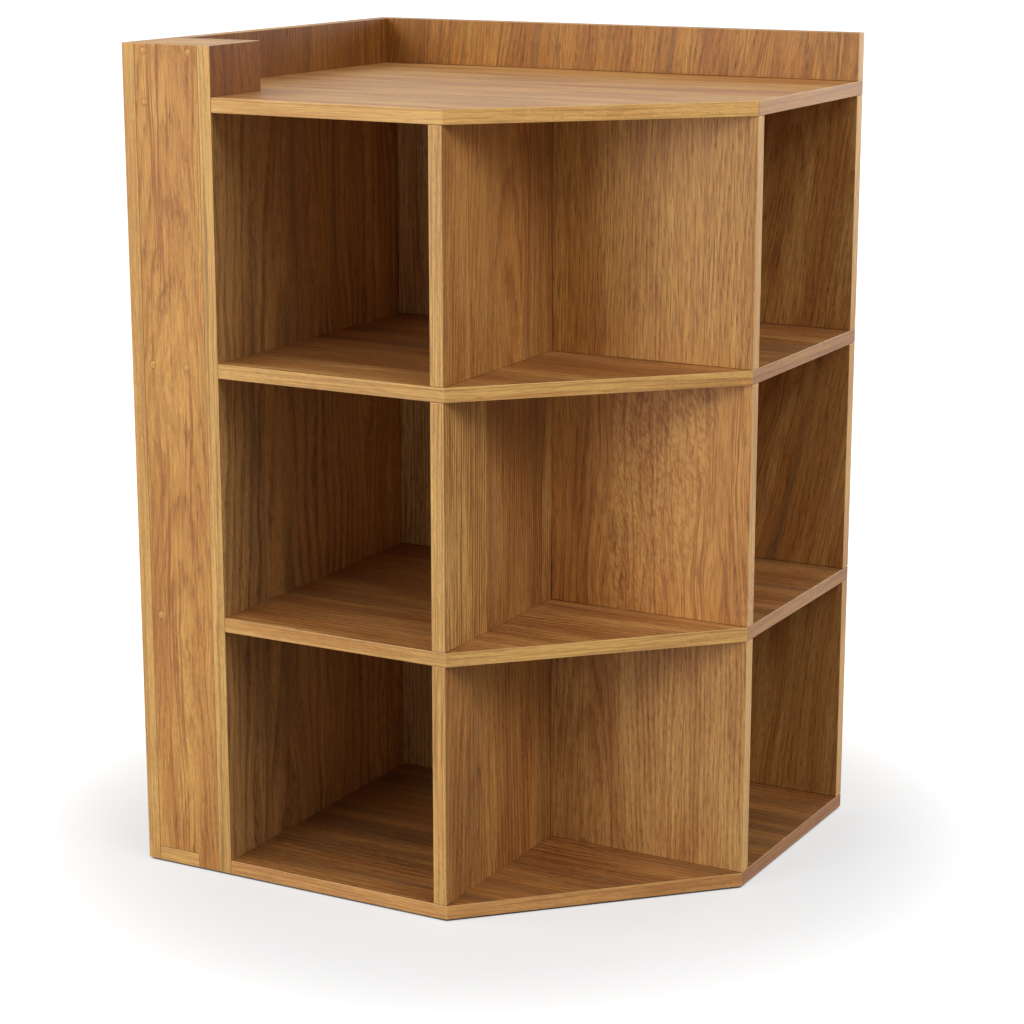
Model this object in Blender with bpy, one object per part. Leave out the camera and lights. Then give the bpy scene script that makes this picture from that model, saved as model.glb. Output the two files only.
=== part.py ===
"""An open corner shelf unit of oak-look boards: four boards, three tiers and nine cubbies.

A hollow post stands at the front left corner, and a low rim runs along the left and rear edges.
The boards are square in plan with the front right corner cut off at 45 degrees.
Metres, +Z up, +X to the right along the rear wall, +Y towards the rear wall.
The origin is on the floor, under the middle of the unit.
"""

import math

import bmesh
import bpy
from mathutils import Vector

# Carcass
BOARD = 0.015
POST_CLEAR_WIDTH = 0.077
POST_DEPTH = 0.090
LEFT_CUBBY_WIDTH = 0.250
LEFT_CUBBY_DEPTH = 0.359
RIGHT_CUBBY_WIDTH = 0.250
CORNER_LEG = 0.228
TIER_HEIGHT = 0.254
RIM_HEIGHT = 0.051
CORNER_ROUND = 0.006
EDGE_ROUND = 0.0006
FOOT_TONGUE_WIDTH = 0.051

# Names from the floor upwards
TIERS = ("bottom", "middle", "top")
BOARDS = ("bottom_board", "lower_shelf", "upper_shelf", "top_board")
POST_LEVELS = ("post_foot_block", "post_spreader_lower", "post_spreader_middle", "post_spreader_upper")

# Feet
GLIDE_HEIGHT = 0.002
GLIDE_RADIUS = 0.0065
GLIDE_INSET = 0.022

# Clearance between pieces that touch, and how far a cutter runs past a face
GAP = 0.0003
OVERCUT = 0.001

# Dowels
DOWEL_RADIUS = 0.004
DOWEL_IN_FACE = 0.0065
DOWEL_IN_EDGE = 0.0185
RIM_DOWEL_INSET = 0.060

# Screws through the front of the post, each under a cap
SCREW_RADIUS = 0.002
SCREW_HEAD_RADIUS = 0.0032
SCREW_HEAD_HEIGHT = 0.0025
SCREW_REACH = 0.020
CAP_RADIUS = 0.004
CAP_THICKNESS = 0.0012
SCREW_INSET = 0.011
INNER_SCREW_INSET = 0.0235

# Faceting of round pieces
BAR_SIDES = 10
DISC_SIDES = 20
ARC_STEPS = 4

# Overall size
WIDTH = BOARD + POST_CLEAR_WIDTH + BOARD + LEFT_CUBBY_WIDTH + BOARD + CORNER_LEG
DEPTH = BOARD + RIGHT_CUBBY_WIDTH + BOARD + CORNER_LEG
TOP_UNDERSIDE = GLIDE_HEIGHT + len(TIERS) * (BOARD + TIER_HEIGHT)
TOP_SURFACE = TOP_UNDERSIDE + BOARD
HEIGHT = TOP_SURFACE + RIM_HEIGHT

# Stations from left to right
LEFT = -WIDTH / 2
OUTER_INSIDE = LEFT + BOARD
SIDE_OUTSIDE = OUTER_INSIDE + POST_CLEAR_WIDTH
SIDE_INSIDE = SIDE_OUTSIDE + BOARD
DIVIDER_LEFT = SIDE_INSIDE + LEFT_CUBBY_WIDTH
DIVIDER_RIGHT = DIVIDER_LEFT + BOARD
RIGHT = WIDTH / 2

# Stations from front to rear
FRONT = -DEPTH / 2
POST_INNER_FRONT = FRONT + BOARD
DIVIDER_FRONT = FRONT + CORNER_LEG
DIVIDER_REAR = DIVIDER_FRONT + BOARD
POST_REAR = FRONT + POST_DEPTH
POST_INNER_REAR = POST_REAR - BOARD
INNER_BACK_FRONT = FRONT + LEFT_CUBBY_DEPTH
INNER_BACK_REAR = INNER_BACK_FRONT + BOARD
REAR = DEPTH / 2
BACK_INSIDE = REAR - BOARD

FRONT_TO_REAR = Vector((0, 1, 0))
UPWARDS = Vector((0, 0, 1))

# Holes booked for each panel, by the stage in which they are cut
holes = {}


def finish(name, color, roughness, metallic=0.0):
    """A plain finish of one colour."""
    made = bpy.data.materials.new(name)
    made.use_nodes = True
    shader = made.node_tree.nodes["Principled BSDF"]
    shader.inputs["Base Color"].default_value = (*color, 1.0)
    shader.inputs["Roughness"].default_value = roughness
    shader.inputs["Metallic"].default_value = metallic
    return made


def add_piece(name, bm, material):
    """Links a bmesh to the scene as one named piece."""
    bmesh.ops.recalc_face_normals(bm, faces=bm.faces)
    mesh = bpy.data.meshes.new(name)
    bm.to_mesh(mesh)
    bm.free()
    mesh.materials.append(material)
    piece = bpy.data.objects.new(name, mesh)
    bpy.context.scene.collection.objects.link(piece)
    return piece


def add_panel(name, outline, low, high, place):
    """A flat panel: its outline carried from low to high, with all its edges eased."""
    bm = bmesh.new()
    face = bm.faces.new([bm.verts.new(place(a, b, low)) for a, b in outline])
    lifted = bmesh.ops.extrude_face_region(bm, geom=[face])["geom"]
    corners = [item for item in lifted if isinstance(item, bmesh.types.BMVert)]
    bmesh.ops.translate(bm, verts=corners, vec=place(0, 0, high) - place(0, 0, low))
    piece = add_piece(name, bm, finish(name + "_oak", (0.45, 0.26, 0.11), 0.5))
    ease = piece.modifiers.new("eased_edges", "BEVEL")
    ease.width = EDGE_ROUND
    ease.segments = 2
    ease.limit_method = "ANGLE"
    ease.angle_limit = math.radians(30)
    return piece


def level_panel(name, outline, base, thickness=BOARD):
    """A level panel with the given plan outline."""
    return add_panel(name, outline, base, base + thickness, lambda x, y, z: Vector((x, y, z)))


def box_panel(name, left, right, front, rear, low, high):
    """A rectangular panel between two stations along each axis."""
    outline = [(left, front), (right, front), (right, rear), (left, rear)]
    return level_panel(name, outline, low, high - low)


def base_of(level):
    """Height of the underside of a board, counted upwards from the bottom board."""
    return GLIDE_HEIGHT + level * (BOARD + TIER_HEIGHT)


def rounded_corner(before, corner, after):
    """Points of the arc that rounds one corner of an outline."""
    corner = Vector(corner)
    towards = (Vector(before) - corner).normalized()
    away = (Vector(after) - corner).normalized()
    half_angle = towards.angle(away) / 2
    reach = CORNER_ROUND / math.tan(half_angle)
    centre = corner + (towards + away).normalized() * CORNER_ROUND / math.sin(half_angle)
    first = (corner + towards * reach - centre).normalized()
    last = (corner + away * reach - centre).normalized()
    spokes = [first.slerp(last, step / ARC_STEPS) for step in range(ARC_STEPS + 1)]
    return [tuple(centre + spoke * CORNER_ROUND) for spoke in spokes]


def shelf_outline():
    """Plan of a shelf: a rectangle right of the side panel, its front right corner cut off."""
    front_left = (SIDE_INSIDE + GAP, FRONT)
    front_corner = (DIVIDER_RIGHT, FRONT)
    right_corner = (RIGHT, DIVIDER_FRONT)
    rear_right = (RIGHT, REAR)
    return [
        front_left,
        *rounded_corner(front_left, front_corner, right_corner),
        *rounded_corner(front_corner, right_corner, rear_right),
        rear_right,
        (SIDE_INSIDE + GAP, REAR),
    ]


def top_outline():
    """Plan of the top board: a shelf that reaches the outer panel behind the post."""
    return [
        *shelf_outline()[:-1],
        (OUTER_INSIDE + GAP, REAR),
        (OUTER_INSIDE + GAP, POST_REAR + GAP),
        (SIDE_INSIDE + GAP, POST_REAR + GAP),
    ]


def make_boards():
    """The four level boards."""
    for level, name in enumerate(BOARDS):
        outline = top_outline() if level == len(TIERS) else shelf_outline()
        level_panel(name, outline, base_of(level))


def make_sides():
    """The outer panel, the side panel that rises to the rim only at the post, and the duct's rear."""
    box_panel("left_outer_panel", LEFT, OUTER_INSIDE, FRONT, REAR, GLIDE_HEIGHT, HEIGHT)
    side = [
        (FRONT, GLIDE_HEIGHT),
        (REAR, GLIDE_HEIGHT),
        (REAR, TOP_UNDERSIDE - GAP),
        (POST_REAR, TOP_UNDERSIDE - GAP),
        (POST_REAR, HEIGHT),
        (FRONT, HEIGHT),
    ]
    add_panel("left_side_panel", side, SIDE_OUTSIDE, SIDE_INSIDE, lambda y, z, x: Vector((x, y, z)))
    left, right = OUTER_INSIDE + GAP, SIDE_OUTSIDE - GAP
    box_panel("duct_rear_panel", left, right, BACK_INSIDE, REAR, GLIDE_HEIGHT, TOP_UNDERSIDE - GAP)


def make_post():
    """The post's front, with a notch at its foot, and its rear, cap and inner spreaders."""
    left, right = OUTER_INSIDE + GAP, SIDE_OUTSIDE - GAP
    tongue_right = OUTER_INSIDE + FOOT_TONGUE_WIDTH
    foot_top = GLIDE_HEIGHT + BOARD
    front = [
        (tongue_right + GAP, GLIDE_HEIGHT),
        (right, GLIDE_HEIGHT),
        (right, HEIGHT),
        (left, HEIGHT),
        (left, foot_top + GAP),
        (tongue_right + GAP, foot_top + GAP),
    ]
    add_panel("post_front_panel", front, FRONT, POST_INNER_FRONT, lambda x, z, y: Vector((x, y, z)))
    box_panel("post_rear_panel", left, right, POST_INNER_REAR, POST_REAR, GLIDE_HEIGHT, HEIGHT)
    inner_front, inner_rear = POST_INNER_FRONT + GAP, POST_INNER_REAR - GAP
    foot = [
        (left, FRONT),
        (tongue_right, FRONT),
        (tongue_right, inner_front),
        (right, inner_front),
        (right, inner_rear),
        (left, inner_rear),
    ]
    level_panel("post_foot_block", foot, GLIDE_HEIGHT)
    for name, base in post_level_bases().items():
        box_panel(name, left, right, inner_front, inner_rear, base, base + BOARD)


def post_level_bases():
    """The underside of each level piece inside the post, above its foot."""
    spreaders = {name: base_of(level) for level, name in enumerate(POST_LEVELS) if level > 0}
    return {**spreaders, "post_cap": HEIGHT - BOARD}


def make_tiers():
    """The dividers and backs that stand between the boards."""
    for level, tier in enumerate(TIERS):
        low, high = base_of(level) + BOARD + GAP, base_of(level + 1) - GAP
        box_panel(
            "left_divider_" + tier, DIVIDER_LEFT, DIVIDER_RIGHT, FRONT, BACK_INSIDE - GAP, low, high
        )
        box_panel(
            "right_divider_" + tier, DIVIDER_RIGHT + GAP, RIGHT, DIVIDER_FRONT, DIVIDER_REAR, low, high
        )
        box_panel("back_panel_" + tier, SIDE_INSIDE + GAP, RIGHT, BACK_INSIDE, REAR, low, high)
        box_panel(
            "inner_back_panel_" + tier,
            SIDE_INSIDE + GAP,
            DIVIDER_LEFT - GAP,
            INNER_BACK_FRONT,
            INNER_BACK_REAR,
            low,
            high,
        )


def make_rim():
    """The rail along the rear edge of the top board."""
    box_panel("rear_rim_rail", OUTER_INSIDE + GAP, RIGHT, BACK_INSIDE, REAR, TOP_SURFACE + GAP, HEIGHT)


def book_hole(stage, host, start, end, radius, sides):
    """Notes a round hole, a little wider than what it holds, to be cut once every panel is made."""
    holes.setdefault((host, stage), []).append((start, end, radius + GAP, sides))


def add_bar(bm, start, end, radius, sides):
    """A straight round bar between two points."""
    along = end - start
    turn = UPWARDS.rotation_difference(along).to_matrix().to_4x4()
    turn.translation = (start + end) / 2
    bmesh.ops.create_cone(
        bm,
        cap_ends=True,
        segments=sides,
        radius1=radius,
        radius2=radius,
        depth=along.length,
        matrix=turn,
    )


def add_dowel(name, start, end, hosts):
    """A dowel between two points, and a hole for it in every panel that it enters or crosses."""
    bm = bmesh.new()
    add_bar(bm, start, end, DOWEL_RADIUS, BAR_SIDES)
    add_piece(name, bm, finish(name + "_beech", (0.62, 0.45, 0.27), 0.6))
    slack = (end - start).normalized() * GAP
    for host in hosts:
        book_hole("bore", host, start - slack, end + slack, DOWEL_RADIUS, BAR_SIDES)


def join_dividers():
    """A dowel at each board ties the divider under the board to the divider over it."""
    runs = (
        ("left_divider_", DIVIDER_LEFT + BOARD / 2, (FRONT + BACK_INSIDE) / 2),
        ("right_divider_", (DIVIDER_RIGHT + RIGHT) / 2, DIVIDER_FRONT + BOARD / 2),
    )
    for prefix, x, y in runs:
        for level, host in enumerate(BOARDS):
            hosts = [host]
            low = base_of(level) + BOARD - DOWEL_IN_FACE
            high = base_of(level) + DOWEL_IN_FACE
            if level > 0:
                hosts.append(prefix + TIERS[level - 1])
                low = base_of(level) - DOWEL_IN_EDGE
            if level < len(TIERS):
                hosts.append(prefix + TIERS[level])
                high = base_of(level) + BOARD + DOWEL_IN_EDGE
            add_dowel(prefix + "dowel_" + host, Vector((x, y, low)), Vector((x, y, high)), hosts)


def join_post():
    """A dowel at each board crosses the side panel and ties the board to the piece in the post."""
    y = (POST_INNER_FRONT + POST_INNER_REAR) / 2
    for level, (host, spreader) in enumerate(zip(BOARDS, POST_LEVELS)):
        height = base_of(level) + BOARD / 2
        start = Vector((SIDE_OUTSIDE - DOWEL_IN_EDGE, y, height))
        end = Vector((SIDE_INSIDE + DOWEL_IN_EDGE, y, height))
        add_dowel("post_dowel_" + host, start, end, (spreader, "left_side_panel", host))


def join_rim():
    """The rear rail stands on two dowels, and a third ties the outer panel to the top board."""
    y = BACK_INSIDE + BOARD / 2
    places = {"left": OUTER_INSIDE + RIM_DOWEL_INSET, "right": RIGHT - RIM_DOWEL_INSET}
    for side, x in places.items():
        start = Vector((x, y, TOP_SURFACE - DOWEL_IN_FACE))
        end = Vector((x, y, TOP_SURFACE + DOWEL_IN_EDGE))
        add_dowel("rim_dowel_" + side, start, end, ("top_board", "rear_rim_rail"))
    y = (POST_REAR + REAR) / 2
    height = TOP_UNDERSIDE + BOARD / 2
    start = Vector((OUTER_INSIDE - DOWEL_IN_FACE, y, height))
    end = Vector((OUTER_INSIDE + DOWEL_IN_EDGE, y, height))
    add_dowel("top_board_dowel", start, end, ("left_outer_panel", "top_board"))


def add_lathed(bm, start, direction, profile, sides):
    """A turned solid: rings of (distance along, radius) from start, with a flat disc at each end."""
    across = direction.orthogonal().normalized()
    other = direction.cross(across)
    rings = []
    for distance, radius in profile:
        centre = start + direction * distance
        turns = [2 * math.pi * step / sides for step in range(sides)]
        spokes = [across * math.cos(turn) + other * math.sin(turn) for turn in turns]
        rings.append([bm.verts.new(centre + spoke * radius) for spoke in spokes])
    for lower, upper in zip(rings, rings[1:]):
        for step in range(sides):
            after = (step + 1) % sides
            bm.faces.new((lower[step], lower[after], upper[after], upper[step]))
    bm.faces.new(rings[0][::-1])
    bm.faces.new(rings[-1])


def add_screw(label, face, host):
    """A screw from the post's front into the level piece behind it, sunk under a cap."""
    head_front = face + FRONT_TO_REAR * (CAP_THICKNESS + GAP)
    behind = face + FRONT_TO_REAR * BOARD
    tip = behind + FRONT_TO_REAR * SCREW_REACH
    profile = (
        (0.0, SCREW_HEAD_RADIUS),
        (SCREW_HEAD_HEIGHT / 2, SCREW_HEAD_RADIUS),
        (SCREW_HEAD_HEIGHT, SCREW_RADIUS),
        ((tip - head_front).length, SCREW_RADIUS),
    )
    body, cap = bmesh.new(), bmesh.new()
    add_lathed(body, head_front, FRONT_TO_REAR, profile, BAR_SIDES)
    add_bar(cap, face, face + FRONT_TO_REAR * CAP_THICKNESS, CAP_RADIUS, DISC_SIDES)
    add_piece("post_screw_" + label, body, finish(f"screw_{label}_zinc", (0.6, 0.6, 0.6), 0.35, 1.0))
    add_piece("screw_cap_" + label, cap, finish(f"cap_{label}_plastic", (0.47, 0.28, 0.12), 0.45))
    past, slack = FRONT_TO_REAR * OVERCUT, FRONT_TO_REAR * GAP
    head_rear = head_front + FRONT_TO_REAR * SCREW_HEAD_HEIGHT
    front = "post_front_panel"
    book_hole("bore", front, face, behind + past, SCREW_RADIUS, BAR_SIDES)
    book_hole("seat", front, face - past, head_rear + slack, SCREW_HEAD_RADIUS, DISC_SIDES)
    book_hole("pocket", front, face - past, head_front, CAP_RADIUS, DISC_SIDES)
    book_hole("bore", host, behind - past, tip + slack, SCREW_RADIUS, BAR_SIDES)


def join_post_front():
    """The post's front is screwed to the level pieces behind it."""
    left, right = OUTER_INSIDE + SCREW_INSET, SIDE_OUTSIDE - SCREW_INSET
    inner = SIDE_OUTSIDE - INNER_SCREW_INSET
    for label, host, station in (
        ("top_left", "post_cap", left),
        ("top_right", "post_cap", right),
        ("upper_left", "post_spreader_upper", left),
        ("middle_left", "post_spreader_middle", left),
        ("middle_right", "post_spreader_middle", inner),
        ("lower_left", "post_spreader_lower", left),
    ):
        height = post_level_bases()[host] + BOARD / 2
        add_screw(label, Vector((station, FRONT, height)), host)


def cut_holes():
    """Cuts each panel's booked holes, one Boolean a stage, because holes that meet can't share one."""
    for (host, stage), cuts in sorted(holes.items()):
        bm = bmesh.new()
        for start, end, radius, sides in cuts:
            add_bar(bm, start, end, radius, sides)
        mesh = bpy.data.meshes.new(f"{host}_{stage}_cutter")
        bm.to_mesh(mesh)
        bm.free()
        cutter = bpy.data.objects.new(mesh.name, mesh)
        bpy.context.scene.collection.objects.link(cutter)
        cutter.hide_render = True
        cutter.display_type = "WIRE"
        cut = bpy.data.objects[host].modifiers.new(stage, "BOOLEAN")
        cut.operation = "DIFFERENCE"
        cut.solver = "EXACT"
        cut.object = cutter


def make_glides():
    """The stick-on glides that keep the carcass off the floor."""
    plans = {
        "front_left": (LEFT + BOARD / 2, FRONT + GLIDE_INSET),
        "rear_left": (LEFT + BOARD / 2, REAR - GLIDE_INSET),
        "front_middle": (DIVIDER_LEFT + BOARD / 2, FRONT + GLIDE_INSET),
        "rear_middle": (DIVIDER_LEFT + BOARD / 2, REAR - GLIDE_INSET),
        "front_right": (RIGHT - GLIDE_INSET, DIVIDER_FRONT + BOARD / 2),
        "rear_right": (RIGHT - GLIDE_INSET, REAR - GLIDE_INSET),
    }
    for corner, (x, y) in plans.items():
        bm = bmesh.new()
        add_bar(bm, Vector((x, y, 0)), Vector((x, y, GLIDE_HEIGHT - GAP)), GLIDE_RADIUS, DISC_SIDES)
        add_piece("glide_" + corner, bm, finish(f"glide_{corner}_plastic", (0.06, 0.05, 0.045), 0.55))


def main():
    for old in list(bpy.data.objects):
        bpy.data.objects.remove(old, do_unlink=True)
    make_boards()
    make_sides()
    make_post()
    make_tiers()
    make_rim()
    make_glides()
    join_dividers()
    join_post()
    join_rim()
    join_post_front()
    cut_holes()


main()
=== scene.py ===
"""Looks of an open corner shelf unit: oak finishes, small trims, studio floor, light and camera.

Metres in the part's frame: +Z up, the front along -Y, the rear wall along +Y.
"""

import math
from collections import namedtuple

import bmesh
import bpy
from mathutils import Euler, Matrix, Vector


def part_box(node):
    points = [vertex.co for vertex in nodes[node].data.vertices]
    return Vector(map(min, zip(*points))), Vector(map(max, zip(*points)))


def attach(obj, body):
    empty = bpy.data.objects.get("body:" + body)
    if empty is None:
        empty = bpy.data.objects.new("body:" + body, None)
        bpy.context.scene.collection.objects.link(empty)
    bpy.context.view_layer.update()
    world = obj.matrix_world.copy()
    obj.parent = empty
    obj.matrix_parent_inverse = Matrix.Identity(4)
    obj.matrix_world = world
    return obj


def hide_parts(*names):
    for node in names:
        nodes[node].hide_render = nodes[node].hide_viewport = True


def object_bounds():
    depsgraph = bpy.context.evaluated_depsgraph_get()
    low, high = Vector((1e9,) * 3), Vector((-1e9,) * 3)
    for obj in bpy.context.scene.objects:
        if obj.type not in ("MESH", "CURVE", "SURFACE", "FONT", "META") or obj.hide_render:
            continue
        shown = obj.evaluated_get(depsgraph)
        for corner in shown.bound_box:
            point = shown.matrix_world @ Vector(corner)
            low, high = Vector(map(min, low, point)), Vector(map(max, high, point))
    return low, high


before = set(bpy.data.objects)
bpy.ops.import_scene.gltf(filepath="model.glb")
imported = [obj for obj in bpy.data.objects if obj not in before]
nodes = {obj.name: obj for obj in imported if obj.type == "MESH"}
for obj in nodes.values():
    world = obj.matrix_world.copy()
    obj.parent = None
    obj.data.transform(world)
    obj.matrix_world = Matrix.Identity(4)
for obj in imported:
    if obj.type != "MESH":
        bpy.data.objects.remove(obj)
cad_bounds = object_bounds()

# Camera, fitted to the corners of the boards in the photograph
CAMERA_PLACE = (1.337, -2.4398, 1.0522)
CAMERA_TURN = math.radians(28.54)
CAMERA_TILT = math.radians(13.82)
CAMERA_LENS = 93.02

# Softboxes: name, turn from the front towards the right and height in degrees, and power in watts
LAMPS = (
    ("front_softbox", -20, 14, 72),
    ("left_softbox", -55, 40, 46),
    ("right_softbox", 60, 45, 34),
    ("side_softbox", 90, 30, 46),
    ("rear_softbox", 165, 12, 40),
)
LAMP_TARGET = (0.0, 0.0, 0.45)
LAMP_DISTANCE = 4.0
LAMP_SIZE = 1.8
FILL_LEVEL = 0.24
BACKGROUND_LEVEL = 1.0

# The floor glows to the camera: by FLOOR_GLOW near the middle, which keeps the part's shade there, and then
# white while the distance goes from CLEAR_FROM to CLEAR_TO. Under the carcass the glow ends within GAP_SHADE,
# which paints shade over the real shadow in the gap.
FLOOR_REACH = 14.0
FLOOR_TONE = 0.34
FLOOR_ROUGHNESS = 0.9
FLOOR_GLOW = 0.55
CLEAR_FROM = 0.34
CLEAR_TO = 0.74
GAP_SHADE = 0.003

# Direction of the face where the plan's front right corner is cut off
CUT_FACING = (math.sqrt(0.5), -math.sqrt(0.5), 0.0)


def screen_color(red, green, blue):
    """A linear colour from 8-bit values as they look on screen."""
    linear = []
    for value in (red, green, blue):
        share = value / 255
        linear.append(share / 12.92 if share <= 0.04045 else ((share + 0.055) / 1.055) ** 2.4)
    return (*linear, 1.0)


# Oak tones. A white stain changes nothing.
GOLD = screen_color(214, 164, 93)
AMBER = screen_color(190, 133, 70)
WALNUT = screen_color(130, 98, 60)
RUSSET = screen_color(154, 91, 38)
UMBER = screen_color(82, 46, 20)
PALE = screen_color(226, 186, 118)
WHITE = (1.0, 1.0, 1.0, 1.0)

# Noise that draws the figure: length of its patches along the grain, their width, and how fine its detail is
Noise = namedtuple("Noise", "length width detail")
SWAY = Noise(0.24, 0.050, 1.0)
RIPPLE = Noise(0.07, 0.016, 1.0)
BANDS = Noise(0.28, 0.014, 2.0)
CLOUDS = Noise(0.13, 0.026, 2.0)
RING_WAVER = Noise(0.030, 0.004, 1.0)
FLECKS = Noise(0.0042, 0.0013, 1.5)
FIBRES = Noise(0.014, 0.0008, 1.0)

# Marks are such noise too, and show where its value passes a start, in full from the last number on
Marks = namedtuple("Marks", "length width detail start full")
STREAKS = Marks(0.110, 0.0016, 2.0, 0.50, 0.62)
CROWDING = Marks(0.180, 0.018, 1.0, 0.38, 0.58)
THREADS = Marks(0.026, 0.0012, 1.0, 0.44, 0.66)
EDGE_LINES = Marks(0.150, 0.0011, 1.0, 0.52, 0.64)
FLECK_FIELDS = Marks(0.16, 0.06, 0.0, 0.28, 0.56)
PORES = Marks(0.0080, 0.0009, 0.0, 0.54, 0.68)

# About this many patches fit along one cell of Blender's noise
PATCHES_PER_CELL = 1.6

# Values of the bands, and of the clouds, between which a tone comes in
GOLD_TO_AMBER = (0.25, 0.75)
AMBER_TO_WALNUT = (0.70, 1.30)
RED_CLOUDS = (0.42, 0.66)

# Streaks are sparse in one place and crowded in another
SPARSE_STREAKS = 0.40
CROWDED_STREAKS = 1.25

# A growth ring darkens slowly between these shares of its width, then ends sharply. It wavers a little, and
# is faint where the clouds' value is low.
RING_START = 0.35
RING_PEAK = 0.85
RING_WAVER_DEPTH = 0.004
RING_CLOUDS = (0.36, 0.60)
FAINT_RINGS = 0.25

# Flecks slant across the grain. The noise's high values are pale ones, and its low values dark ones.
FLECK_SLANT = 0.25
FLECK_BORDER = 0.02
PALE_FLECKS = (0.50, 0.66)
PALE_FLECK_SHARE = 0.5
DARK_FLECKS = (0.48, 0.32)

# Pores have this strength between growth rings, and gain this much on them
PORES_BETWEEN_RINGS = 0.5
PORES_ON_RINGS = 0.6
FIBRE_SHADE = 0.50

# Each leaf of veneer shows the figure from up to this much farther along the grain
LEAF_SHIFT = 3.0

# A face counts as turned to an axis from this share of its normal, and as square to it from the second one
TURNED_SHARE = 0.6
SQUARE_SHARE = 0.9

# Board edges have a calmer figure with their own tone and lines, and the level boards a darker band of
# painted shade on their right-facing ends. The rim's inner face, which faces right too, gets painted shade
# from this height.
EDGE_CALM = 0.45
EDGE_DEPTH = 0.32
EDGE_REDNESS = 0.25
EDGE_LINE_STRENGTH = 0.36
EDGE_STAIN = (1.08, 1.12, 1.10, 1.0)
RIGHT_END_PAINTED_SHADE = (0.65, 0.51, 0.38, 1.0)
RIM_FROM = 0.82

# The narrow facets between two faces are worn pale: a little where the largest share of the normal is under
# the first number, and fully under the second
ARRIS_START = 0.985
ARRIS_FULL = 0.95
WORN_PALE = 0.3

# Roughness, and what the layers of the figure add to it
BOARD_ROUGHNESS = 0.46
PORE_ROUGHNESS = 0.20
FIBRE_ROUGHNESS = 0.16
WORN_ROUGHNESS = -0.08

# Relief of the layers, in shares of a pore's depth
PORE_RELIEF = -1.0
RING_RELIEF = -0.25
FIBRE_RELIEF = 0.35
FLECK_RELIEF = 0.8
PORE_DEPTH = 0.00018

BUMP_STRENGTH = 0.6
OAK_SPECULAR = 0.4

# Small parts have two tones in patches, and gloss and relief in finer ones
SPECKLE_DETAIL = 2.0
SPECKLE_TONES = (0.35, 0.65)
SPECKLE_GLOSS = (0.3, 0.7)
FINE_SHARE = 0.3
ROUGHNESS_SPREAD = 0.08


class Graph:
    """Short calls that add nodes to one tree and link them."""

    def __init__(self, tree):
        self.tree = tree

    def set(self, socket, value):
        """Links a socket, or sets a constant."""
        if isinstance(value, bpy.types.NodeSocket):
            self.tree.links.new(value, socket)
        else:
            socket.default_value = value

    def node(self, kind, *values, **settings):
        """A node with its settings and its first inputs."""
        made = self.tree.nodes.new(kind)
        for name, value in settings.items():
            setattr(made, name, value)
        for socket, value in zip(made.inputs, values):
            self.set(socket, value)
        return made

    def math(self, operation, *values):
        return self.node("ShaderNodeMath", *values, operation=operation).outputs[0]

    def product(self, first, *others):
        for other in others:
            first = self.math("MULTIPLY", first, other)
        return first

    def weighted(self, total, *terms):
        """A start value plus each term's value times its weight."""
        for value, weight in terms:
            total = self.math("MULTIPLY_ADD", value, weight, total)
        return total

    def vector(self, operation, *values):
        return self.node("ShaderNodeVectorMath", *values, operation=operation).outputs[0]

    def measure(self, operation, *values):
        """A number from vectors, such as a length or a dot product."""
        return self.node("ShaderNodeVectorMath", *values, operation=operation).outputs["Value"]

    def split(self, vector):
        return self.node("ShaderNodeSeparateXYZ", vector).outputs

    def join(self, x, y, z):
        return self.node("ShaderNodeCombineXYZ", x, y, z).outputs[0]

    def grain(self, place, noise):
        """Noise drawn out along the grain."""
        sizes = (noise.length, noise.width, noise.width)
        stretch = [1 / (PATCHES_PER_CELL * size) for size in sizes]
        made = self.node("ShaderNodeTexNoise")
        self.set(made.inputs["Vector"], self.vector("MULTIPLY", place, stretch))
        made.inputs["Scale"].default_value = 1.0
        made.inputs["Detail"].default_value = noise.detail
        return made.outputs[0]

    def swing(self, place, noise):
        """The same noise, from about -0.5 to 0.5."""
        return self.math("SUBTRACT", self.grain(place, noise), 0.5)

    def fade(self, value, start, end, low=0.0, high=1.0):
        """A smooth step from low to high while the value goes from start to end."""
        made = self.node("ShaderNodeMapRange", value, start, end, low, high)
        made.interpolation_type = "SMOOTHSTEP"
        return made.outputs[0]

    def marks(self, place, marks, low=0.0, high=1.0):
        """A fade from low to high where such noise goes past its start."""
        return self.fade(self.grain(place, marks), marks.start, marks.full, low, high)

    def mix_kind(self, kind, sockets, output, values, **settings):
        """A mix of two values, whose share and values go to the sockets of their kind."""
        made = self.node("ShaderNodeMix", data_type=kind, **settings)
        for index, value in zip(sockets, values):
            self.set(made.inputs[index], value)
        return made.outputs[output]

    def mix(self, share, a, b):
        return self.mix_kind("FLOAT", (0, 2, 3), 0, (share, a, b))

    def mix_places(self, share, a, b):
        return self.mix_kind("VECTOR", (0, 4, 5), 1, (share, a, b))

    def mix_colors(self, share, a, b, blend="MIX"):
        return self.mix_kind("RGBA", (0, 6, 7), 2, (share, a, b), blend_type=blend)

    def tint(self, color, stain):
        return self.mix_colors(1.0, color, stain, "MULTIPLY")


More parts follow.
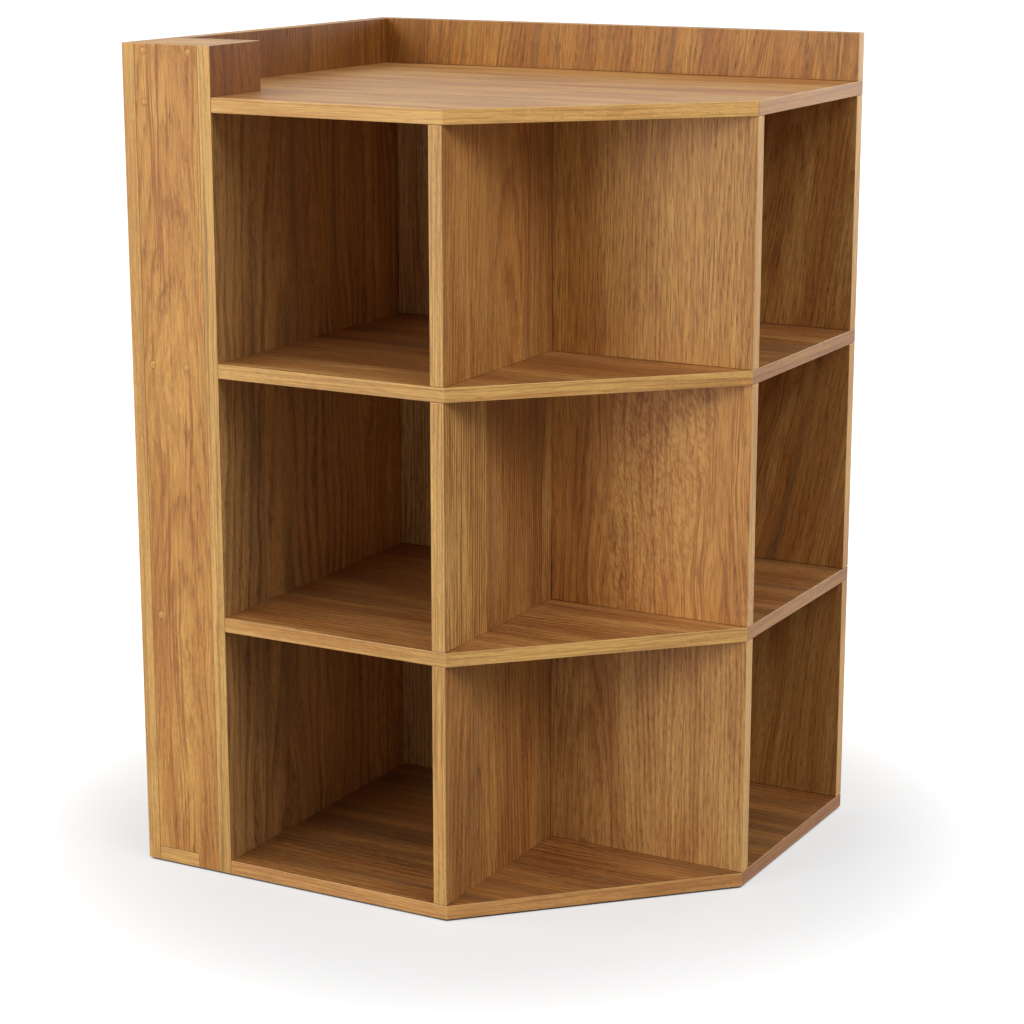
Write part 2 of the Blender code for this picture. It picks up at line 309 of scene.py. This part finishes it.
OAK_INPUTS = (
    ("Offset", "NodeSocketVector", (0.0, 0.0, 0.0)),
    ("Grain Up", "NodeSocketFloat", 0.0),
    ("Runs Along Y", "NodeSocketFloat", 0.0),
    ("Leaf Seam", "NodeSocketFloat", 0.0),
    ("Leaf Width", "NodeSocketFloat", 2.0),
    ("Leaf Contrast", "NodeSocketFloat", 0.25),
    ("Lean", "NodeSocketFloat", 0.0),
    ("Meander", "NodeSocketFloat", 0.020),
    ("Ripple", "NodeSocketFloat", 0.15),
    ("Pith Across", "NodeSocketFloat", 0.35),
    ("Pith Depth", "NodeSocketFloat", 0.02),
    ("Taper", "NodeSocketFloat", 0.08),
    ("Ring Spacing", "NodeSocketFloat", 0.0055),
    ("Ring Strength", "NodeSocketFloat", 0.35),
    ("Band Contrast", "NodeSocketFloat", 1.0),
    ("Streak Strength", "NodeSocketFloat", 0.55),
    ("Thread Strength", "NodeSocketFloat", 0.30),
    ("Line Darkness", "NodeSocketFloat", 0.10),
    ("Fleck Strength", "NodeSocketFloat", 0.20),
    ("Fleck From", "NodeSocketFloat", -5.0),
    ("Pore Strength", "NodeSocketFloat", 0.45),
    ("Redness", "NodeSocketFloat", 0.35),
    ("Depth Of Tone", "NodeSocketFloat", 0.5),
    ("Stain", "NodeSocketColor", WHITE),
    ("Rim Painted Shade", "NodeSocketColor", WHITE),
    ("Edge Stain", "NodeSocketColor", EDGE_STAIN),
)
OAK_OUTPUTS = (
    ("Color", "NodeSocketColor"),
    ("Roughness", "NodeSocketFloat"),
    ("Height", "NodeSocketFloat"),
)


def grain_place(g, normal, settings):
    """Place in the board's own directions: along the grain, across it and through it.

    A wall's run is x + y, which goes on round every corner of the plan, so edges keep their grain there.
    Also 1 on the board's edges.
    """
    place = g.node("ShaderNodeTexCoord").outputs["Object"]
    x, y, z = g.split(place)
    faces_x, faces_y, faces_z = (
        g.math("GREATER_THAN", g.math("ABSOLUTE", side), TURNED_SHARE) for side in g.split(normal)
    )
    run = g.math("ADD", x, y)
    wall = g.mix_places(settings["Grain Up"], g.join(run, z, 0.0), g.join(z, run, 0.0))
    level = g.mix_places(settings["Runs Along Y"], g.join(x, y, z), g.join(y, x, z))
    upright_edge = g.mix(settings["Runs Along Y"], faces_x, faces_y)
    edge = g.mix(settings["Grain Up"], g.math("SUBTRACT", 1.0, faces_z), upright_edge)
    along, across, through = g.split(g.mix_places(faces_z, wall, level))
    across = g.math("SUBTRACT", across, g.math("MULTIPLY", along, settings["Lean"]))
    return g.join(along, across, through), edge


def veneer_leaf(g, place, settings):
    """Shifts the figure from one leaf of veneer to the next, and gives each leaf its own tone."""
    across = g.split(place)[1]
    leaf = g.math("DIVIDE", g.math("SUBTRACT", across, settings["Leaf Seam"]), settings["Leaf Width"])
    chance = g.node("ShaderNodeTexWhiteNoise", noise_dimensions="1D")
    g.set(chance.inputs["W"], g.math("ADD", g.math("FLOOR", leaf), g.split(settings["Offset"])[0]))
    shift = g.join(g.math("MULTIPLY", chance.outputs["Value"], LEAF_SHIFT), 0.0, 0.0)
    moved = g.vector("ADD", g.vector("ADD", place, settings["Offset"]), shift)
    return moved, g.math("SUBTRACT", chance.outputs["Value"], 0.5)


def grain_sway(g, place, calm, settings):
    """How far the grain wanders to the side: a long sway with ripples on it."""
    sway = g.weighted(g.swing(place, SWAY), (g.swing(place, RIPPLE), settings["Ripple"]))
    return g.product(sway, settings["Meander"], calm, calm)


def board_tone(g, place, clouds, leaf_tone, edge, settings):
    """Broad bands of gold, amber and walnut with russet clouds. The edges are banded in a lighter tone."""
    depth = g.weighted(settings["Depth Of Tone"], (leaf_tone, settings["Leaf Contrast"]))
    depth = g.mix(edge, depth, EDGE_DEPTH)
    bands = g.weighted(depth, (g.swing(place, BANDS), settings["Band Contrast"]))
    color = g.mix_colors(g.fade(bands, *GOLD_TO_AMBER), GOLD, AMBER)
    color = g.mix_colors(g.fade(bands, *AMBER_TO_WALNUT), color, WALNUT)
    redness = g.mix(edge, settings["Redness"], EDGE_REDNESS)
    return g.mix_colors(g.product(redness, g.fade(clouds, *RED_CLOUDS)), color, RUSSET)


def growth_rings(g, plain, place, sway, clouds, settings):
    """Growth rings where the board's face cuts a leaning trunk: arches over the pith, lines beside it."""
    along, across, _ = g.split(plain)
    beside = g.math("SUBTRACT", g.math("ADD", across, sway), settings["Pith Across"])
    under = g.math("MULTIPLY_ADD", along, settings["Taper"], settings["Pith Depth"])
    radius = g.math("SQRT", g.math("ADD", g.math("POWER", beside, 2.0), g.math("POWER", under, 2.0)))
    radius = g.weighted(radius, (g.swing(place, RING_WAVER), RING_WAVER_DEPTH))
    turn = g.math("FRACT", g.math("DIVIDE", radius, settings["Ring Spacing"]))
    ring = g.product(g.fade(turn, RING_START, RING_PEAK), g.fade(turn, RING_PEAK, 1.0, 1.0, 0.0))
    return g.product(ring, g.fade(clouds, *RING_CLOUDS, FAINT_RINGS, 1.0))


def long_lines(g, color, place, rings, calm, edge, settings):
    """Draws long streaks, growth rings and fine threads."""
    line = g.mix_colors(settings["Line Darkness"], RUSSET, UMBER)
    crowding = g.marks(place, CROWDING, SPARSE_STREAKS, CROWDED_STREAKS)
    streaks = g.product(g.marks(place, STREAKS), settings["Streak Strength"], crowding)
    edge_lines = g.product(g.marks(place, EDGE_LINES), EDGE_LINE_STRENGTH)
    color = g.mix_colors(g.mix(edge, streaks, edge_lines), color, line)
    color = g.mix_colors(g.product(rings, settings["Ring Strength"], calm), color, line)
    threads = g.marks(place, THREADS)
    return g.mix_colors(g.product(threads, settings["Thread Strength"], calm), color, line)


def slanting_flecks(g, color, plain, place, settings):
    """Draws slanting flecks in fields, light and dark. Also their relief."""
    along, across, through = g.split(place)
    slanted = g.join(along, g.math("MULTIPLY_ADD", along, FLECK_SLANT, across), through)
    flecks = g.grain(slanted, FLECKS)
    beyond = g.math("SUBTRACT", g.split(plain)[1], settings["Fleck From"])
    field = g.product(g.marks(place, FLECK_FIELDS), settings["Fleck Strength"])
    field = g.product(field, g.fade(beyond, 0.0, FLECK_BORDER))
    color = g.mix_colors(g.product(g.fade(flecks, *PALE_FLECKS), field, PALE_FLECK_SHARE), color, PALE)
    color = g.mix_colors(g.product(g.fade(flecks, *DARK_FLECKS), field), color, RUSSET)
    return color, g.product(flecks, field)


def short_pores(g, place, rings, calm, settings):
    """Short pores, stronger on the growth rings."""
    crowd = g.weighted(PORES_BETWEEN_RINGS, (rings, PORES_ON_RINGS))
    return g.product(g.marks(place, PORES), settings["Pore Strength"], crowd, calm, calm)


def stain_and_paint_shade(g, color, plain, normal, edge, settings):
    """Stains the veneer and, in a tone of their own, the edges. Paints shade on the rim's inner face and the
    right ends.
    """
    facing_right = g.math("GREATER_THAN", g.split(normal)[0], SQUARE_SHARE)
    # Painted shade on the rim's inner face, which faces right
    painted_rim_shade_mask = g.product(facing_right, g.math("GREATER_THAN", g.split(plain)[0], RIM_FROM))
    stain = g.mix_colors(painted_rim_shade_mask, settings["Stain"], settings["Rim Painted Shade"])
    stain = g.mix_colors(edge, stain, settings["Edge Stain"])
    color = g.tint(color, stain)
    # Painted shade: the level boards' right-facing ends are darkened
    painted_end_shade = g.product(edge, facing_right, g.math("SUBTRACT", 1.0, settings["Grain Up"]))
    return g.mix_colors(painted_end_shade, color, g.tint(color, RIGHT_END_PAINTED_SHADE))


def eased_corner(g, normal):
    """1 on the narrow facets between two faces of a board."""
    nx, ny, nz = g.split(g.vector("ABSOLUTE", normal))
    flat = g.math("MAXIMUM", g.math("MAXIMUM", nx, ny), nz)
    diagonal = g.math("ABSOLUTE", g.measure("DOT_PRODUCT", normal, CUT_FACING))
    return g.fade(g.math("MAXIMUM", flat, diagonal), ARRIS_START, ARRIS_FULL)


def make_oak():
    """The oak group: colour, roughness and height of a board from its place and a few settings."""
    tree = bpy.data.node_groups.new("oak", "ShaderNodeTree")
    for name, kind, value in OAK_INPUTS:
        tree.interface.new_socket(name, in_out="INPUT", socket_type=kind).default_value = value
    for name, kind in OAK_OUTPUTS:
        tree.interface.new_socket(name, in_out="OUTPUT", socket_type=kind)
    g = Graph(tree)
    settings = g.node("NodeGroupInput").outputs
    normal = g.node("ShaderNodeNewGeometry").outputs["True Normal"]

    # Where the figure is read
    plain, edge = grain_place(g, normal, settings)
    calm = g.weighted(1.0, (edge, -EDGE_CALM))
    place, leaf_tone = veneer_leaf(g, plain, settings)
    sway = grain_sway(g, place, calm, settings)
    place = g.vector("ADD", place, g.join(0.0, sway, 0.0))

    # Its layers
    clouds = g.grain(place, CLOUDS)
    rings = growth_rings(g, plain, place, sway, clouds, settings)
    pores = short_pores(g, place, rings, calm, settings)
    fibres = g.swing(place, FIBRES)
    worn = eased_corner(g, normal)

    # Colour, with the fibres' light and shade over the whole
    color = board_tone(g, place, clouds, leaf_tone, edge, settings)
    color = long_lines(g, color, place, rings, calm, edge, settings)
    color, flecks = slanting_flecks(g, color, plain, place, settings)
    color = g.mix_colors(pores, color, UMBER)
    shade = g.weighted(1.0, (fibres, FIBRE_SHADE))
    color = g.tint(color, g.join(shade, shade, shade))
    color = stain_and_paint_shade(g, color, plain, normal, edge, settings)
    color = g.mix_colors(g.product(worn, WORN_PALE), color, PALE)

    roughness = g.weighted(
        BOARD_ROUGHNESS, (pores, PORE_ROUGHNESS), (fibres, FIBRE_ROUGHNESS), (worn, WORN_ROUGHNESS)
    )
    height = g.weighted(
        0.0, (fibres, FIBRE_RELIEF), (pores, PORE_RELIEF), (rings, RING_RELIEF), (flecks, FLECK_RELIEF)
    )
    g.node("NodeGroupOutput", color, roughness, height)
    return tree


def new_material(name):
    """An empty material, its graph, its shader and the socket of its surface."""
    made = bpy.data.materials.new(name)
    made.use_nodes = True
    made.node_tree.nodes.clear()
    g = Graph(made.node_tree)
    shader = g.node("ShaderNodeBsdfPrincipled")
    output = g.node("ShaderNodeOutputMaterial", shader.outputs[0])
    return made, g, shader, output.inputs["Surface"]


def add_bump(g, shader, height, depth):
    bump = g.node("ShaderNodeBump")
    bump.inputs["Strength"].default_value = BUMP_STRENGTH
    bump.inputs["Distance"].default_value = depth
    g.set(bump.inputs["Height"], height)
    g.set(shader.inputs["Normal"], bump.outputs[0])


def oak_material(name, group, look):
    """One board's oak, with its own settings."""
    made, g, shader, _ = new_material("oak_" + name)
    oak = g.node("ShaderNodeGroup", node_tree=group)
    for key, value in look.items():
        oak.inputs[key.replace("_", " ").title()].default_value = value
    g.set(shader.inputs["Base Color"], oak.outputs["Color"])
    g.set(shader.inputs["Roughness"], oak.outputs["Roughness"])
    add_bump(g, shader, oak.outputs["Height"], PORE_DEPTH)
    shader.inputs["Specular IOR Level"].default_value = OAK_SPECULAR
    return made


def speckled_material(name, tones, size, roughness, bump, metallic=0.0, stretch=1.0):
    """A small part's finish: two tones in fine patches, uneven gloss and a slight relief."""
    made, g, shader, _ = new_material(name)
    place = g.node("ShaderNodeTexCoord").outputs["Object"]
    patches = g.grain(place, Noise(size * stretch, size, SPECKLE_DETAIL))
    fine = g.grain(place, Noise(size * FINE_SHARE, size * FINE_SHARE, SPECKLE_DETAIL))
    smooth, rough = roughness - ROUGHNESS_SPREAD, roughness + ROUGHNESS_SPREAD
    g.set(shader.inputs["Base Color"], g.mix_colors(g.fade(patches, *SPECKLE_TONES), *tones))
    g.set(shader.inputs["Roughness"], g.fade(fine, *SPECKLE_GLOSS, smooth, rough))
    shader.inputs["Metallic"].default_value = metallic
    add_bump(g, shader, fine, bump)
    return made


def finish_node(name, material):
    """Gives a frame node its finish."""
    mesh = nodes[name].data
    mesh.materials.clear()
    mesh.materials.append(material)


# Boards that lie level, and those that run front to rear
LEVEL_NODES = (
    "top_board", "upper_shelf", "lower_shelf", "bottom_board",
    "post_cap", "post_foot_block", "post_spreader_lower", "post_spreader_middle", "post_spreader_upper",
)
ALONG_Y_NODES = (
    "left_outer_panel", "left_side_panel", "left_divider_top", "left_divider_middle", "left_divider_bottom",
)

# Each board's figure is read this much farther on than the last one's
BOARD_STEP = (1.37, 0.83, 0.41)

# What sets one board's figure apart from the usual one
SHELF_LOOK = {
    "meander": 0.022, "ring_strength": 0.55, "ring_spacing": 0.0085, "streak_strength": 0.62,
    "thread_strength": 0.35, "line_darkness": 0.45, "band_contrast": 1.9, "redness": 0.50,
    "depth_of_tone": 0.76, "stain": (1.0, 1.0, 1.10, 1.0),
}
BACK_LOOK = {"line_darkness": 0.5, "redness": 0.15, "stain": (1.08, 1.24, 1.52, 1.0)}
BOARD_LOOKS = {
    "post_front_panel": {
        "meander": 0.024, "ripple": 0.45, "pith_across": -0.497, "taper": 0.07, "ring_strength": 0.45,
        "streak_strength": 0.62, "thread_strength": 0.26, "pore_strength": 0.32, "redness": 0.30,
        "depth_of_tone": 0.44, "stain": (1.0, 0.94, 0.77, 1.0),
    },
    # Painted sheen: the post cap's tone is paler and bluer overall
    "post_cap": {"redness": 0.15, "depth_of_tone": 0.25, "stain": (1.08, 1.12, 1.25, 1.0)},
    # The rim values of the next two panels are painted shade on their right-facing faces above RIM_FROM
    "left_outer_panel": {
        "meander": 0.030, "ripple": 0.3, "streak_strength": 0.45, "line_darkness": 0.4,
        "stain": (1.03, 0.96, 0.85, 1.0), "rim_painted_shade": (0.41, 0.29, 0.13, 1.0),
    },
    "left_side_panel": {
        "meander": 0.040, "ripple": 0.5, "pith_across": -0.33, "taper": 0.05, "ring_strength": 0.50,
        "ring_spacing": 0.013, "streak_strength": 0.28, "thread_strength": 0.10, "line_darkness": 1.0,
        "band_contrast": 1.1, "redness": 0.05, "depth_of_tone": 0.70, "stain": (1.15, 1.32, 1.66, 1.0),
        "rim_painted_shade": (0.47, 0.31, 0.08, 1.0),
    },
    "inner_back_panel_top": BACK_LOOK,
    "inner_back_panel_middle": BACK_LOOK,
    "inner_back_panel_bottom": BACK_LOOK,
    "left_divider_top": {
        "pith_across": -0.05, "taper": 0.06, "ring_strength": 0.7, "line_darkness": 0.4,
        "redness": 0.5, "depth_of_tone": 0.82,
    },
    "left_divider_middle": {
        "leaf_seam": -0.095, "leaf_width": 0.12, "leaf_contrast": 0.9, "meander": 0.006,
        "ring_strength": 0.9, "ring_spacing": 0.0046, "line_darkness": 0.6, "depth_of_tone": 0.60,
    },
    "left_divider_bottom": {
        "meander": 0.014, "pith_across": -0.12, "taper": 0.09, "ring_strength": 0.8,
        "ring_spacing": 0.007, "line_darkness": 0.5, "redness": 0.6, "depth_of_tone": 0.80,
    },
    "back_panel_top": {"lean": 0.15, "meander": 0.030, "band_contrast": 1.9},
    "back_panel_middle": {"lean": 0.26, "meander": 0.036, "ripple": 0.3, "band_contrast": 2.2},
    "back_panel_bottom": {"lean": 0.10, "meander": 0.030, "band_contrast": 1.9},
    "right_divider_top": {
        "meander": 0.014, "streak_strength": 0.40, "thread_strength": 0.55, "fleck_strength": 0.10,
        "redness": 0.25, "depth_of_tone": 0.42, "stain": (1.03, 1.02, 0.84, 1.0),
    },
    "right_divider_middle": {
        "meander": 0.040, "ripple": 0.35, "pith_across": 0.20, "pith_depth": 0.01, "taper": 0.12,
        "ring_strength": 0.5, "ring_spacing": 0.011, "fleck_strength": 0.60, "fleck_from": 0.105,
        "redness": 0.25, "depth_of_tone": 0.40, "stain": (1.0, 0.88, 0.74, 1.0),
    },
    "right_divider_bottom": {"pith_across": 0.09, "taper": 0.07, "ring_strength": 0.7, "redness": 0.5},
    "rear_rim_rail": {
        "lean": 0.12, "meander": 0.034, "ripple": 0.4, "streak_strength": 0.45, "line_darkness": 0.55,
        "band_contrast": 1.6, "redness": 0.45, "depth_of_tone": 0.65, "stain": (0.87, 0.80, 0.47, 1.0),
    },
    "top_board": {
        "meander": 0.034, "ripple": 0.25, "band_contrast": 2.4, "streak_strength": 0.42,
        "ring_strength": 0.45, "pore_strength": 0.25, "redness": 0.45, "depth_of_tone": 0.42,
    },
    "upper_shelf": SHELF_LOOK,
    "lower_shelf": SHELF_LOOK,
    # Painted shade: the bottom board is a darker copy of the shelves' look, edges included
    "bottom_board": {
        **SHELF_LOOK, "depth_of_tone": 0.95, "stain": (0.90, 0.88, 0.94, 1.0),
        "edge_stain": (0.98, 0.89, 0.91, 1.0),
    },
}


def is_board(name):
    """Whether a node is of oak board, and not a fastener or a trim."""
    return not name.startswith(("screw_cap", "post_screw", "glide")) and "dowel" not in name


def finish_boards():
    """Gives each board its own oak."""
    group = make_oak()
    for index, name in enumerate(filter(is_board, sorted(nodes))):
        look = {
            "offset": tuple(index * step for step in BOARD_STEP),
            "grain_up": 0.0 if name in LEVEL_NODES else 1.0,
            "runs_along_y": 1.0 if name in ALONG_Y_NODES else 0.0,
            **BOARD_LOOKS.get(name, {}),
        }
        finish_node(name, oak_material(name, group, look))


def beech():
    tones = (screen_color(214, 172, 126), screen_color(190, 142, 98))
    return speckled_material("beech_dowel", tones, size=0.0012, roughness=0.55, bump=0.0001, stretch=6.0)


def zinc():
    tones = (screen_color(190, 190, 186), screen_color(160, 160, 158))
    return speckled_material("zinc_screw", tones, size=0.0020, roughness=0.32, bump=0.00003, metallic=1.0)


def cap_plastic():
    tones = (screen_color(203, 150, 80), screen_color(191, 136, 68))
    return speckled_material("cap_plastic", tones, size=0.0016, roughness=0.52, bump=0.00004)


def glide_felt():
    tones = (screen_color(70, 60, 50), screen_color(44, 36, 30))
    return speckled_material("glide_felt", tones, size=0.0008, roughness=0.85, bump=0.0002)


# Profiles of the turned trims, from the back outwards, in shares of their radius and depth
CAP_PROFILE = (
    (1.00, 0.00), (1.00, 0.85), (0.96, 0.97), (0.86, 1.00), (0.82, 0.84),
    (0.76, 0.84), (0.72, 1.02), (0.50, 1.15), (0.25, 1.20),
)
GLIDE_PROFILE = (
    (0.94, 0.00), (1.00, 0.15), (1.00, 0.50), (0.97, 0.75), (0.88, 0.95), (0.70, 1.00),
)
RIM_STEPS = 48


def turned_mesh(name, profile, radius, depth, back, facing):
    """A closed turned form that stands on its back and rises along facing."""
    turn = facing.to_track_quat("Z", "Y")
    bm = bmesh.new()
    rings = []
    for share, height in profile:
        ring = []
        for step in range(RIM_STEPS):
            angle = step * math.tau / RIM_STEPS
            x = math.cos(angle) * radius * share
            y = math.sin(angle) * radius * share
            ring.append(bm.verts.new(back + turn @ Vector((x, y, depth * height))))
        rings.append(ring)
    for lower, upper in zip(rings, rings[1:]):
        for step in range(RIM_STEPS):
            following = (step + 1) % RIM_STEPS
            bm.faces.new((lower[step], lower[following], upper[following], upper[step]))
    bm.faces.new(rings[0][::-1])
    bm.faces.new(rings[-1])
    for face in bm.faces:
        face.smooth = len(face.verts) == 4
    mesh = bpy.data.meshes.new(name)
    bm.to_mesh(mesh)
    bm.free()
    return mesh


def turned_piece(name, node, profile, facing, material):
    """A turned piece in place of a frame node, with its back where the node's back is."""
    low, high = (Vector(corner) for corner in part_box(node))
    facing = Vector(facing)
    depth = abs((high - low).dot(facing))
    back = (low + high) / 2 - facing * depth / 2
    mesh = turned_mesh(name, profile, max(high - low) / 2, depth, back, facing)
    mesh.materials.append(material)
    piece = bpy.data.objects.new(name, mesh)
    bpy.context.scene.collection.objects.link(piece)
    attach(piece, "root")
    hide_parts(node)


def finish_small_parts():
    """Gives dowels and screws their finish, and puts turned pieces in place of the caps and glides."""
    dowel_finish = beech()
    screw_finish = zinc()
    cap_finish = cap_plastic()
    glide_finish = glide_felt()
    for name in sorted(nodes):
        if "dowel" in name:
            finish_node(name, dowel_finish)
        elif name.startswith("post_screw"):
            finish_node(name, screw_finish)
        elif name.startswith("screw_cap"):
            turned_piece("crowned_" + name, name, CAP_PROFILE, (0, -1, 0), cap_finish)
        elif name.startswith("glide"):
            turned_piece("felt_" + name, name, GLIDE_PROFILE, (0, 0, -1), glide_finish)


def seen_directly(g):
    """1 for the camera, also by way of a reflection or through glass."""
    path = g.node("ShaderNodeLightPath").outputs
    seen = g.math("MAXIMUM", path["Is Camera Ray"], path["Is Glossy Ray"])
    return g.math("MAXIMUM", seen, path["Is Transmission Ray"])


def outside_carcass(g, place):
    """How far a place on the floor lies outside the carcass, a rectangle with one corner cut off."""
    reach = Vector(cad_bounds[1])
    cut_reach = max(vertex.co.dot(Vector(CUT_FACING)) for vertex in nodes["bottom_board"].data.vertices)
    x, y, _ = g.split(place)
    beside = g.math("SUBTRACT", g.math("ABSOLUTE", x), reach.x)
    before = g.math("SUBTRACT", g.math("ABSOLUTE", y), reach.y)
    past_cut = g.math("SUBTRACT", g.measure("DOT_PRODUCT", place, CUT_FACING), cut_reach)
    return g.math("MAXIMUM", g.math("MAXIMUM", beside, before), past_cut)


def plain_floor():
    """The pale floor, white to the camera where no shadow falls, and dark in the gap under the carcass, where
    the real shadow is deepened by painted shade: the glow is cut out there.
    """
    made, g, shader, surface = new_material("floor_white")
    shader.inputs["Base Color"].default_value = (FLOOR_TONE, FLOOR_TONE, FLOOR_TONE, 1.0)
    shader.inputs["Roughness"].default_value = FLOOR_ROUGHNESS
    place = g.node("ShaderNodeTexCoord").outputs["Object"]
    level = g.fade(g.measure("LENGTH", place), CLEAR_FROM, CLEAR_TO, FLOOR_GLOW, 1.0)
    # Painted shade: the glow is cut out under the carcass
    outside_painted_gap_shade = g.fade(outside_carcass(g, place), -GAP_SHADE, 0.0)
    glow = g.node("ShaderNodeEmission", WHITE, g.product(seen_directly(g), level, outside_painted_gap_shade))
    both = g.node("ShaderNodeAddShader", shader.outputs[0], glow.outputs[0])
    g.set(surface, both.outputs[0])
    return made


def make_floor():
    bm = bmesh.new()
    bmesh.ops.create_grid(bm, x_segments=2, y_segments=2, size=FLOOR_REACH)
    mesh = bpy.data.meshes.new("studio_floor")
    bm.to_mesh(mesh)
    bm.free()
    mesh.materials.append(plain_floor())
    floor = bpy.data.objects.new("studio_floor", mesh)
    bpy.context.scene.collection.objects.link(floor)


def make_world():
    """A weak fill from all sides, which the camera sees as a white background."""
    world = bpy.data.worlds.new("studio")
    bpy.context.scene.world = world
    world.use_nodes = True
    world.node_tree.nodes.clear()
    g = Graph(world.node_tree)
    level = g.mix(seen_directly(g), FILL_LEVEL, BACKGROUND_LEVEL)
    light = g.node("ShaderNodeBackground", WHITE, level)
    g.node("ShaderNodeOutputWorld", light.outputs[0])


def make_lamp(name, turn, height, power):
    """A softbox that faces the part, turned from the front towards the right, and raised."""
    turn, height = math.radians(turn), math.radians(height)
    data = bpy.data.lights.new(name, "AREA")
    data.size = LAMP_SIZE
    data.energy = power
    lamp = bpy.data.objects.new(name, data)
    out = math.cos(height)
    back = Vector((math.sin(turn) * out, -math.cos(turn) * out, math.sin(height)))
    lamp.location = Vector(LAMP_TARGET) + back * LAMP_DISTANCE
    lamp.rotation_euler = back.to_track_quat("Z", "Y").to_euler()
    bpy.context.scene.collection.objects.link(lamp)


def make_camera():
    data = bpy.data.cameras.new("photo_view")
    data.lens = CAMERA_LENS
    camera = bpy.data.objects.new("photo_view", data)
    camera.location = CAMERA_PLACE
    camera.rotation_euler = Euler((math.pi / 2 - CAMERA_TILT, 0.0, CAMERA_TURN))
    bpy.context.scene.collection.objects.link(camera)
    bpy.context.scene.camera = camera


finish_boards()
finish_small_parts()
make_floor()
make_world()
for name, turn, height, power in LAMPS:
    make_lamp(name, turn, height, power)
make_camera()
bpy.context.scene.view_settings.view_transform = "Standard"
